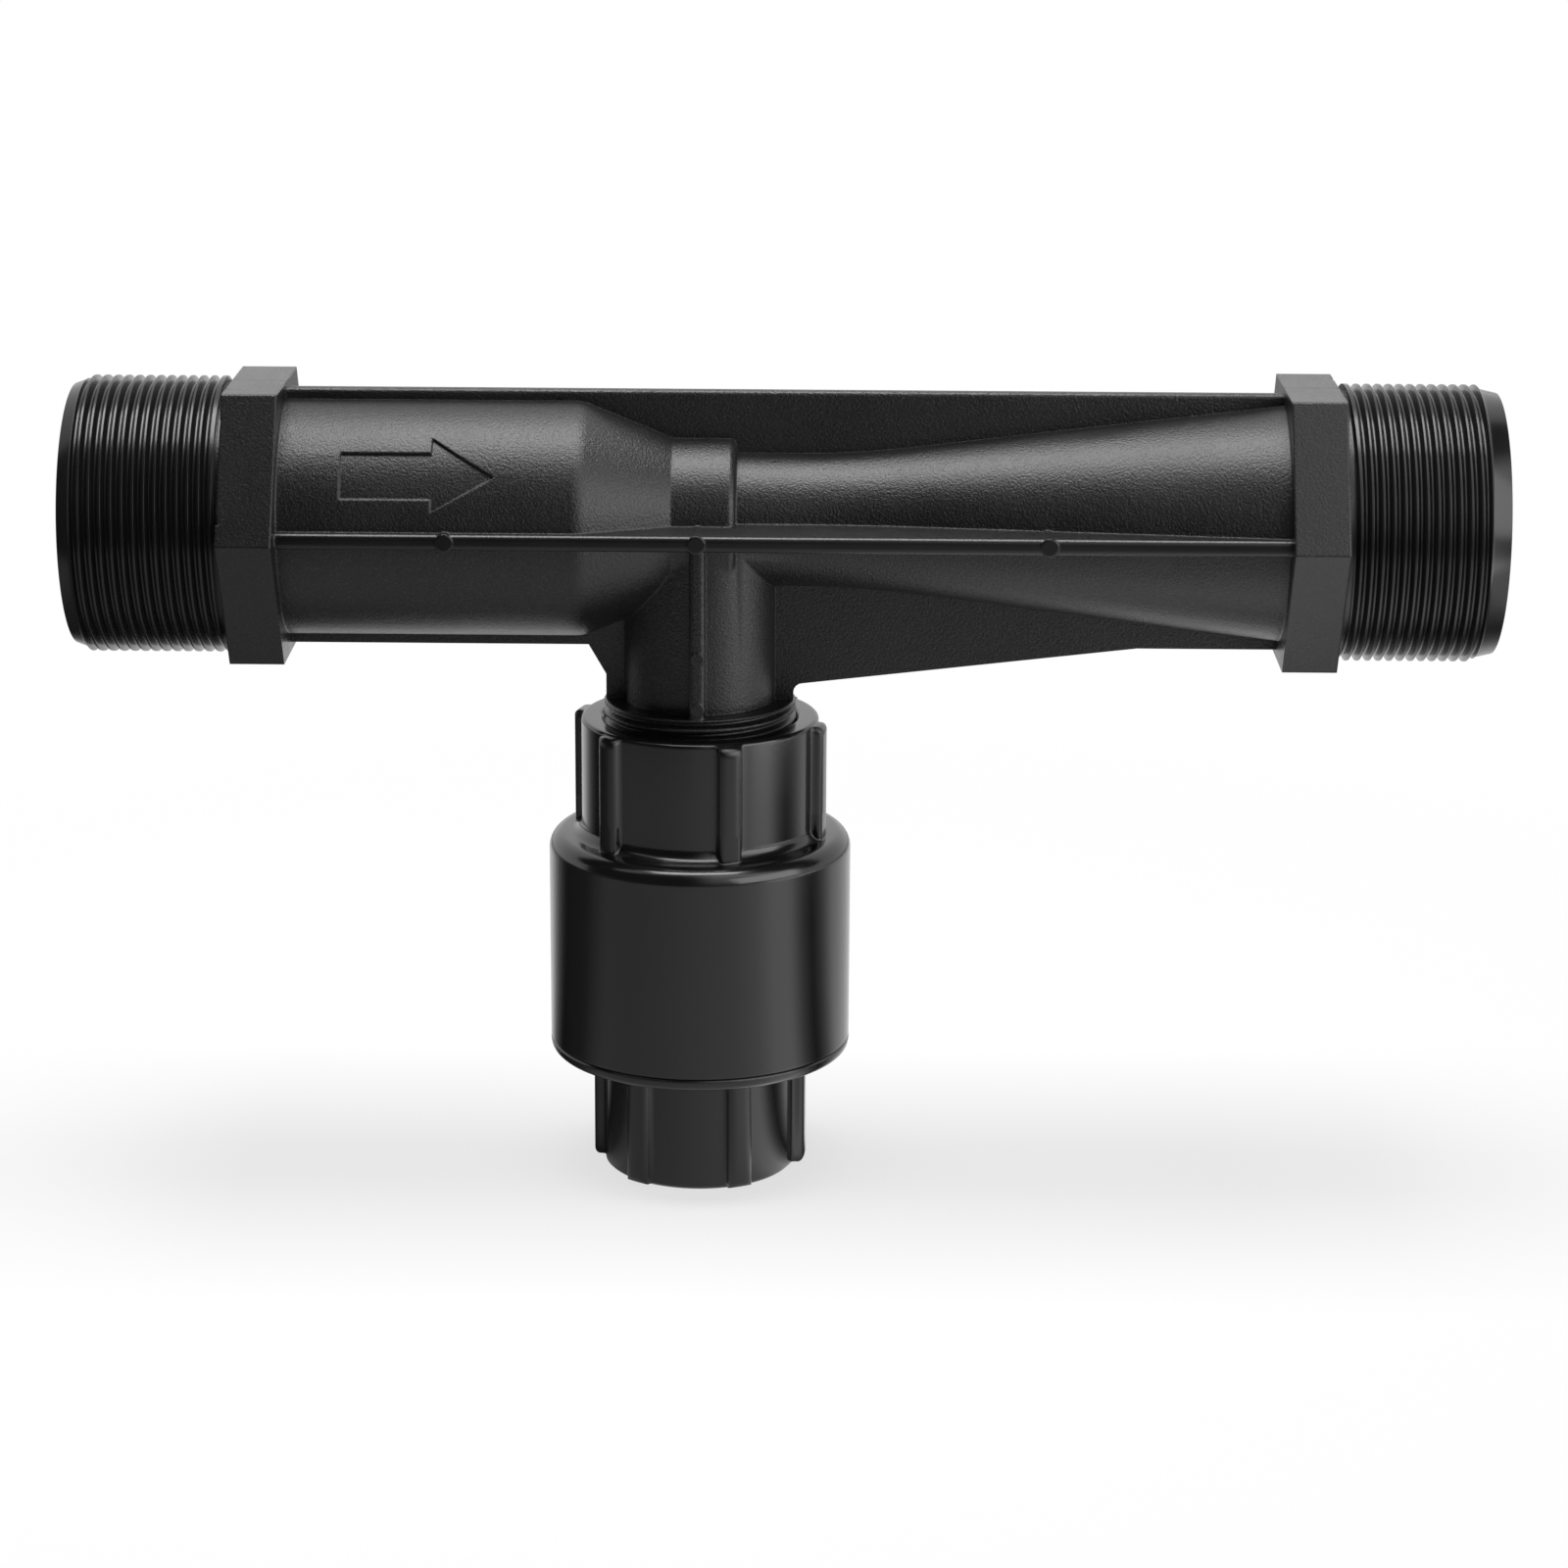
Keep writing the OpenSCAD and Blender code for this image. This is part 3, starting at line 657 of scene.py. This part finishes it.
def cut_groove(name, crest_radius, length, place, material, run_out=RUN_OUT_TURNS):
    depth = GROOVE_DEPTH + MOUTH_RISE
    values = {"Path radius": crest_radius + MOUTH_RISE, "Depth": depth, "Root width": ROOT_WIDTH,
              "Mouth width": ROOT_WIDTH + 2 * depth * math.tan(FLANK_ANGLE), "Length": length,
              "Turns": length / THREAD_PITCH, "Run-out turns": run_out, "Run-out lift": depth,
              "Material": material}
    piece = new_piece(name, bpy.data.meshes.new(name))
    modifier = piece.modifiers.new("groove", "NODES")
    modifier.node_group = thread_groove
    for item in thread_groove.interface.items_tree:
        if item.in_out == "INPUT":
            modifier[item.identifier] = values[item.name]
    make_plain(piece)
    piece.data.transform(place)
    face_outwards(piece.data)
    return piece


print("groove",round(GROOVE_DEPTH / MM, 2), "mm deep")

# %% [markdown]
# Before a groove is cut, a finely divided sleeve is laid over each coarse CAD thread cylinder, a fiftieth
# of a millimetre proud. Without it the crests would show the flat facets of the CAD mesh. A sleeve is an
# outline that is turned round an axis, as on a lathe.

# %% Sleeves
SLEEVE_PROUD = 0.02 * MM
SLEEVE_SIDES = 128


def turned_ring(name, outline, place):
    """A closed ring: the outline's radius and height, turned round Z and then put in place."""
    shape = bmesh.new()
    rings = []
    for step in range(SLEEVE_SIDES):
        angle = 2 * math.pi * step / SLEEVE_SIDES
        rings.append([shape.verts.new((r * math.cos(angle), r * math.sin(angle), z)) for r, z in outline])
    for step in range(SLEEVE_SIDES):
        here, after = rings[step], rings[(step + 1) % SLEEVE_SIDES]
        for i in range(len(outline)):
            j = (i + 1) % len(outline)
            shape.faces.new((here[i], after[i], after[j], here[j]))
    bmesh.ops.recalc_face_normals(shape, faces=shape.faces)
    mesh = mesh_from(shape, name)
    mesh.transform(place)
    return new_piece(name, mesh)


print("sleeves of", SLEEVE_SIDES, "sides")

# %% [markdown]
# Both ends carry the same thread, but their noses differ: the plain start before the first turn is short at
# the inlet and longer at the outlet. So the shape is written once, and each end brings its own lengths.

# %% End threads
END_RADIUS = mounts["inlet_thread"]["dims"]["r_mm"] * MM + SLEEVE_PROUD
NOSE_DROP = 0.9 * MM
NOSE_TAPER = 0.8 * MM
RELIEF_LENGTH = 1.2 * MM
SLEEVE_INNER = 26.5 * MM
GROOVE_END = 0.4 * MM
NOSE_LENGTHS = {"inlet": 2.3 * MM, "outlet": 3.6 * MM}
GROOVE_STARTS = {"inlet": 1.9 * MM, "outlet": 3.2 * MM}


def facing(x, sign):
    """Puts a shape's own Z axis along the flow at place x, into the body from its end face."""
    return Matrix.Translation((x, 0, flow_z)) @ Matrix.Rotation(sign * math.pi / 2, 4, "Y")


def end_outline(nose_length):
    nose_radius = END_RADIUS - NOSE_DROP
    last = END_THREAD_LENGTH - RELIEF_LENGTH
    return ((SLEEVE_INNER, 0), (nose_radius - NOSE_TAPER, 0), (nose_radius, nose_length),
            (END_RADIUS, nose_length + NOSE_DROP), (END_RADIUS, last), (SLEEVE_INNER, last))


END_PLACES = {"inlet": facing(body_low.x - SLEEVE_PROUD, 1), "outlet": facing(body_high.x + SLEEVE_PROUD, -1)}
sleeves = []
grooves = []
for name, place in END_PLACES.items():
    start = Matrix.Translation((0, 0, GROOVE_STARTS[name]))
    groove_length = END_THREAD_LENGTH - GROOVE_STARTS[name] - GROOVE_END
    sleeves.append(turned_ring(f"{name}_sleeve", end_outline(NOSE_LENGTHS[name]), place))
    grooves.append(cut_groove(f"{name}_groove", END_RADIUS, groove_length, place @ start, body_black))
    print(name, "thread with", round(groove_length / THREAD_PITCH, 1), "turns")

# %% [markdown]
# The suction branch ends in a smaller thread of the same pitch. The valve's collar hides most of it, and
# about four millimetres show above the collar.

# %% Branch thread
PORT_RADIUS = 20.95 * MM + SLEEVE_PROUD
PORT_TOP = 106.5 * MM
PORT_NOSE = 1.6 * MM
PORT_SLEEVE_INNER = 18 * MM
PORT_GROOVE_END = 0.1 * MM
PORT_RUN_OUT = 0.1
port_bottom = body_low.z + PORT_NOSE
port_place = Matrix.Translation((0, 0, port_bottom))
port_length = PORT_TOP - port_bottom
port_outline = ((PORT_SLEEVE_INNER, 0), (PORT_RADIUS, 0),
                (PORT_RADIUS, port_length), (PORT_SLEEVE_INNER, port_length))
sleeves.append(turned_ring("port_sleeve", port_outline, port_place))
grooves.append(cut_groove("port_groove", PORT_RADIUS, port_length - PORT_GROOVE_END, port_place,
                          body_black, PORT_RUN_OUT))
print("branch thread with", round(port_length / THREAD_PITCH, 1), "turns")

# %% [markdown]
# The suction socket has the mating kind of thread, on its inside: a ridge instead of a groove. The same tree
# makes it, with its base sunk a little into the wall of the socket, and the ridge is joined to the cap.

# %% Socket thread
SOCKET_RADIUS = mounts["suction_socket"]["dims"]["r_mm"] * MM
SOCKET_BASE = 0.2 * MM
SOCKET_START = 1.6 * MM
SOCKET_LENGTH = 19.5 * MM
socket_ridge = cut_groove("socket_ridge", SOCKET_RADIUS - MOUTH_RISE + SOCKET_BASE, SOCKET_LENGTH,
                          Matrix.Translation((0, 0, SOCKET_START)), valve_black)
combine(cap, [socket_ridge], "UNION")
print("socket thread with", round(SOCKET_LENGTH / THREAD_PITCH, 1), "turns")

# %% [markdown]
# A sunk arrow on the inlet tube shows the direction of flow. The mould opens towards the viewer, so the
# walls of the sign run straight back, while its floor follows the round tube. The cutter is therefore a
# straight prism with a smaller cylinder taken out of it.

# %% Flow sign
SIGN_DEPTH = 0.5 * MM
SIGN_TAIL_X = -75.2 * MM
SIGN_NECK_X = -56.0 * MM
SIGN_TIP_X = -42.7 * MM
SIGN_RISE = 12.9 * MM
SHAFT_HALF = 4.45 * MM
HEAD_HALF = 7.05 * MM
TUBE_RADIUS = 25.7 * MM
SIGN_OUTER_Y = -1.2 * TUBE_RADIUS
SIGN_INNER_Y = -0.3 * TUBE_RADIUS


def prism(name, corners, y_near, y_far):
    """A straight block with an outline in the plane of X and Z."""
    shape = bmesh.new()
    near = [shape.verts.new((x, y_near, z)) for x, z in corners]
    far = [shape.verts.new((x, y_far, z)) for x, z in corners]
    shape.faces.new(near)
    shape.faces.new(far)
    for i in range(len(corners)):
        j = (i + 1) % len(corners)
        shape.faces.new((near[i], near[j], far[j], far[i]))
    bmesh.ops.recalc_face_normals(shape, faces=shape.faces)
    return new_piece(name, mesh_from(shape, name))


def tube_core(name, radius, x0, x1):
    shape = bmesh.new()
    place = Matrix.Translation(((x0 + x1) / 2, 0, flow_z)) @ Matrix.Rotation(math.pi / 2, 4, "Y")
    bmesh.ops.create_cone(shape, cap_ends=True, segments=SLEEVE_SIDES, radius1=radius, radius2=radius,
                          depth=x1 - x0, matrix=place)
    return new_piece(name, mesh_from(shape, name))


upper_half = [(SIGN_NECK_X, HEAD_HALF), (SIGN_NECK_X, SHAFT_HALF), (SIGN_TAIL_X, SHAFT_HALF)]
lower_half = [(x, -rise) for x, rise in reversed(upper_half)]
sign_corners = [(x, flow_z + SIGN_RISE + rise) for x, rise in lower_half + [(SIGN_TIP_X, 0)] + upper_half]
sign = prism("flow_sign", sign_corners, SIGN_OUTER_Y, SIGN_INNER_Y)
sign_floor = tube_core("sign_floor", TUBE_RADIUS - SIGN_DEPTH, SIGN_TAIL_X - MM, SIGN_TIP_X + MM)
combine(sign, [sign_floor], "DIFFERENCE")
print("flow sign", round((SIGN_TIP_X - SIGN_TAIL_X) / MM, 1), "mm long")

# %% [markdown]
# Now the sleeves are joined to the body, and the grooves and the sign are cut out of it. All sleeves come
# first, so that no groove is filled again.

# %% Cut the body
combine(body, sleeves, "UNION")
combine(body, grooves + [sign], "DIFFERENCE")
print("body with", len(body.data.polygons), "faces")

# %% [markdown]
# The outer pieces are shaded smooth, and edges sharper than a limit stay crisp. The foot of the cone is below
# that limit, yet it is a clear line on the real body, so it is named by its place. Thin fillet faces would
# tilt the shading of the large faces beside them, and weighted normals let the large faces decide.

# %% Shade the outer pieces
CRISP_ANGLE = math.radians(42)
CONE_FOOT_X = -5.7 * MM
CONE_FOOT_RADIUS = 17.8 * MM
RING_REACH = 0.15 * MM


def on_cone_foot(point):
    from_flow_axis = math.hypot(point.y, point.z - flow_z)
    return abs(point.x - CONE_FOOT_X) < RING_REACH and abs(from_flow_axis - CONE_FOOT_RADIUS) < RING_REACH


def sharpen_cone_foot(mesh):
    for edge in mesh.edges:
        if all(on_cone_foot(mesh.vertices[index].co) for index in edge.vertices):
            edge.use_edge_sharp = True


def weight_normals(piece):
    weighting = piece.modifiers.new("weighted_normals", "WEIGHTED_NORMAL")
    weighting.mode = "FACE_AREA_WITH_ANGLE"
    weighting.keep_sharp = True
    make_plain(piece)


for piece, material in ((body, body_black), (housing, valve_black), (cap, valve_black)):
    give_material(piece.data, material)
    shade_smooth(piece.data, CRISP_ANGLE)
    if piece is body:
        sharpen_cone_foot(piece.data)
    weight_normals(piece)
print("shaded:", [piece.name for piece in (body, housing, cap)])

# %% [markdown]
# Every new piece is tied to the CAD body that it moves with, and hides the plain solid that it stands for. Each
# row also names a finish slot of the record, which the loop doesn't use.

# %% Tie the pieces to the frame
for piece, node_name, slot_name in ((body, "venturi_body", "body_black"),
                                    (housing, "check_valve_housing", "valve_black"),
                                    (cap, "check_valve_cap", "valve_black")):
    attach(piece, "injector")
    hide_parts(node_name)

# %% [markdown]
# The photograph has a white ground. The world is white where the camera or a shine sees it, and gives only a
# moderate fill to everything else. If it lit the part with full strength, the black plastic would turn
# grey.

# %% World
FILL_STRENGTH = 0.2


def white_world():
    world = bpy.data.worlds.new("white_sweep")
    world.use_nodes = True
    tree = world.node_tree
    seen_by = add_node(tree, "ShaderNodeLightPath").outputs
    seen = calculate(tree, "MAXIMUM", seen_by["Is Camera Ray"], seen_by["Is Glossy Ray"])
    seen = calculate(tree, "MAXIMUM", seen, seen_by["Is Transmission Ray"])
    background = tree.nodes["Background"]
    background.inputs["Color"].default_value = (1, 1, 1, 1)
    tree.links.new(between(tree, seen, 0.0, 1.0, FILL_STRENGTH, 1.0), background.inputs["Strength"])
    return world


bpy.context.scene.world = white_world()
print("world", bpy.context.scene.world.name)

# %% [markdown]
# The floor is a white sheet. A lit sheet alone would show as grey, so it also glows, and glows fully away
# from the part. Near the part a share of it stays lit, and that share keeps the soft shadow. Seen from
# below the sheet is clear, so that the socket can be looked into. It lies a tenth of a millimetre under the
# socket, because two faces in the same place would flicker.

# %% Floor
FLOOR_HALF = 6.0
FLOOR_DROP = 0.1 * MM
FLOOR_WHITE = (0.95, 0.95, 0.95, 1)
NEAR_GLOW = 0.7
GLOW_START = 0.12
GLOW_FULL = 0.4


def plain_sheet(name, corners, material):
    mesh = bpy.data.meshes.new(name)
    mesh.from_pydata(corners, [], [tuple(range(len(corners)))])
    mesh.materials.append(material)
    sheet = new_piece(name, mesh)
    return sheet


def level_square(half, z):
    return [(-half, -half, z), (half, -half, z), (half, half, z), (-half, half, z)]


def mix_shaders(tree, share, first, second):
    return add_node(tree, "ShaderNodeMixShader", {"Fac": share, 1: first, 2: second}).outputs[0]


def floor_material():
    material, tree, shader = new_material("white_floor", roughness=0.9, specular_ior_level=0.0,
                                          base_color=FLOOR_WHITE)
    distance = vector_length(tree, object_place(tree))
    share = between(tree, distance, GLOW_START, GLOW_FULL, NEAR_GLOW, 1.0)
    glow = add_node(tree, "ShaderNodeEmission", {"Color": (1, 1, 1, 1), "Strength": 1.0})
    from_above = mix_shaders(tree, share, shader.outputs[0], glow.outputs[0])
    from_below = add_node(tree, "ShaderNodeNewGeometry").outputs["Backfacing"]
    clear = add_node(tree, "ShaderNodeBsdfTransparent")
    shown = mix_shaders(tree, from_below, from_above, clear.outputs[0])
    tree.links.new(shown, tree.nodes["Material Output"].inputs["Surface"])
    return material


plain_sheet("floor", level_square(FLOOR_HALF, -FLOOR_DROP), floor_material())
print("floor", 2 * FLOOR_HALF, "m wide")

# %% [markdown]
# Black plastic shows mostly what it reflects, so a photographer shapes its shine with cards. The cards here
# are for the shine alone: the camera doesn't see them, and they throw no shadow. Three stand round the
# part. A bright one at the right lights the cone and the right faces, a black one at the left keeps the
# left faces dark, and a small black one high at the right darkens the top of the cone.

# %% Standing cards
CARD_DARK = 0.02
CARD_BRIGHT = 4.1
PART_MIDDLE = (0.0, 0.0, 0.13)


def only_for_shine(card):
    card.visible_camera = False
    card.visible_diffuse = False
    card.visible_shadow = False
    card.visible_transmission = False


def glowing(name, strength):
    material = bpy.data.materials.new(name)
    material.use_nodes = True
    tree = material.node_tree
    tree.nodes.remove(tree.nodes["Principled BSDF"])
    glow = add_node(tree, "ShaderNodeEmission", {"Strength": strength})
    tree.links.new(glow.outputs[0], tree.nodes["Material Output"].inputs["Surface"])
    return material, tree, glow


def panel(centre, target, width, height):
    """The corners of a sheet that faces the target."""
    turn = (Vector(target) - Vector(centre)).to_track_quat("Z", "Y")
    half = ((-0.5, -0.5), (0.5, -0.5), (0.5, 0.5), (-0.5, 0.5))
    return [Vector(centre) + turn @ Vector((x * width, y * height, 0)) for x, y in half]


bright_card, _, _ = glowing("bright_card", CARD_BRIGHT)
black_card, _, _ = glowing("black_card", CARD_DARK)
STANDING_CARDS = (("side_card", bright_card, (0.72, -0.5, 0.42), 0.9, 0.6),
                  ("left_card", black_card, (-0.85, -0.45, 0.45), 1.2, 0.9),
                  ("high_card", black_card, (0.66, 0.12, 0.98), 0.6, 0.6))
for name, material, centre, width, height in STANDING_CARDS:
    only_for_shine(plain_sheet(name, panel(centre, PART_MIDDLE, width, height), material))
print(len(STANDING_CARDS), "standing cards")

# %% [markdown]
# A wide wall of card stands behind the camera, and a second card leans from its top over the part. Both are
# dark at the left and brighter towards the right, and the leaning one brightens towards the part. Such a
# slow change is what makes a shine look soft. One material does it, from a point's place.

# %% Wall and roof cards
WALL_HALF = 1.6
WALL_Y = -1.15
WALL_TOP = 1.1
ROOF_Y = -0.5
ROOF_TOP = 1.4
RIGHT_GLOW = 1.0
RIGHT_SPAN = (-0.05, 0.25)
HEIGHT_SPAN = (0.1, 0.7)
HEIGHT_SHARE = (0.2, 1.0)
ROOF_GLOW = 1.5
ROOF_RIGHT_SPAN = (-0.2, 0.25)
ROOF_RIGHT_SHARE = (0.05, 1.0)


def graded_material():
    material, tree, glow = glowing("dark_card", CARD_DARK)
    place = split_place(tree)
    to_right = between(tree, place["X"], *RIGHT_SPAN, 0.0, RIGHT_GLOW)
    upwards = between(tree, place["Z"], *HEIGHT_SPAN, *HEIGHT_SHARE)
    over = between(tree, place["Y"], WALL_Y, ROOF_Y, CARD_DARK, ROOF_GLOW)
    over = calculate(tree, "MULTIPLY", over, between(tree, place["X"], *ROOF_RIGHT_SPAN, *ROOF_RIGHT_SHARE))
    shade = calculate(tree, "ADD", calculate(tree, "MULTIPLY", to_right, upwards), over)
    tree.links.new(shade, glow.inputs["Strength"])
    return material


def wide_strip(low_y, low_z, high_y, high_z):
    return [(-WALL_HALF, low_y, low_z), (WALL_HALF, low_y, low_z),
            (WALL_HALF, high_y, high_z), (-WALL_HALF, high_y, high_z)]


dark_card = graded_material()
only_for_shine(plain_sheet("front_card", wide_strip(WALL_Y, 0.0, WALL_Y, WALL_TOP), dark_card))
only_for_shine(plain_sheet("roof_card", wide_strip(WALL_Y, WALL_TOP, ROOF_Y, ROOF_TOP), dark_card))
print("wall and roof cards", 2 * WALL_HALF, "m wide")

# %% [markdown]
# The round valve reflects the floor round it, so its soft bands come from a card that lies there. Its
# brightness follows the bearing seen from the part: 0 degrees is straight in front, and 90 is to the right.
# The low barrel sees the near part of the card, while the collar and the branch see the far part, so
# there are two rings of shades with a soft change between them.

# %% Round card on the floor
DISC_HALF = 1.2
DISC_HEIGHT = 0.5 * MM
DISC_GAIN = 6.0
FADE_START = 0.41
FADE_END = 0.5
DIM_START = 0.5
DIM_END = 0.64
DIM_LEFT = 0.35
NEAR_SHADES = ((-180, 1.0), (-142, 1.0), (-128, 0.25), (-116, 0.0), (-88, 0.06), (-68, 0.42),
               (-45, 0.44), (-20, 0.54), (0, 0.66), (25, 0.8), (42, 1.1), (55, 1.65),
               (68, 1.65), (80, 0.4), (90, 0.0), (100, 0.3), (115, 1.0), (180, 1.0))
FAR_SHADES = ((-180, 1.0), (-140, 1.0), (-115, 0.0), (-10, 0.02), (-2, 0.5), (28, 0.5),
              (45, 1.6), (60, 6.0), (80, 6.0), (100, 2.2), (115, 1.0), (180, 1.0))


def shade_ramp(tree, share, shades):
    ramp = add_node(tree, "ShaderNodeValToRGB", {"Fac": share})
    elements = ramp.color_ramp.elements
    while len(elements) < len(shades):
        elements.new(0.5)
    for element, (degrees, shade) in zip(elements, shades):
        element.position = (degrees + 180) / 360
        element.color = [shade / DISC_GAIN] * 3 + [1]
    return ramp.outputs["Color"]


def disc_material():
    material, tree, glow = glowing("round_card", DISC_GAIN)
    place = split_place(tree)
    bearing = calculate(tree, "ARCTAN2", place["X"], calculate(tree, "MULTIPLY", place["Y"], -1.0))
    share = between(tree, bearing, -math.pi, math.pi, 0.0, 1.0)
    distance = vector_length(tree, object_place(tree))
    fade = between(tree, distance, FADE_START, FADE_END, 0.0, 1.0)
    mixed = add_node(tree, "ShaderNodeMixRGB", {"Fac": fade, "Color1": shade_ramp(tree, share, NEAR_SHADES),
                                                "Color2": shade_ramp(tree, share, FAR_SHADES)})
    dim = between(tree, distance, DIM_START, DIM_END, DISC_GAIN, DISC_GAIN * DIM_LEFT)
    tree.links.new(mixed.outputs[0], glow.inputs["Color"])
    tree.links.new(dim, glow.inputs["Strength"])
    return material


only_for_shine(plain_sheet("round_card", level_square(DISC_HALF, DISC_HEIGHT), disc_material()))
print("floor card", 2 * DISC_HALF, "m wide")

# %% [markdown]
# One large soft light hangs above the part and a little behind it. It draws the broad shine on top of the
# tube, the thin bright line on the rib's edge, and the soft shadow on the floor. Its power is worked out
# from its size, so that a larger light gets softer and not brighter to look at.

# %% Light
SOFTBOX_PLACE = (-0.03, 0.03, 1.05)
SOFTBOX_TARGET = (-0.03, 0.0, 0.1)
SOFTBOX_WIDTH = 0.7
SOFTBOX_DEPTH = 0.56
SOFTBOX_RADIANCE = 9.0

lamp = bpy.data.lights.new("overhead_softbox", "AREA")
lamp.shape = "RECTANGLE"
lamp.size = SOFTBOX_WIDTH
lamp.size_y = SOFTBOX_DEPTH
lamp.energy = SOFTBOX_RADIANCE * math.pi * SOFTBOX_WIDTH * SOFTBOX_DEPTH
softbox = bpy.data.objects.new("overhead_softbox", lamp)
softbox.location = SOFTBOX_PLACE
softbox.rotation_euler = (Vector(SOFTBOX_TARGET) - Vector(SOFTBOX_PLACE)).to_track_quat("-Z", "Y").to_euler()
bpy.context.scene.collection.objects.link(softbox)
print("soft light of", round(lamp.energy, 2), "W")
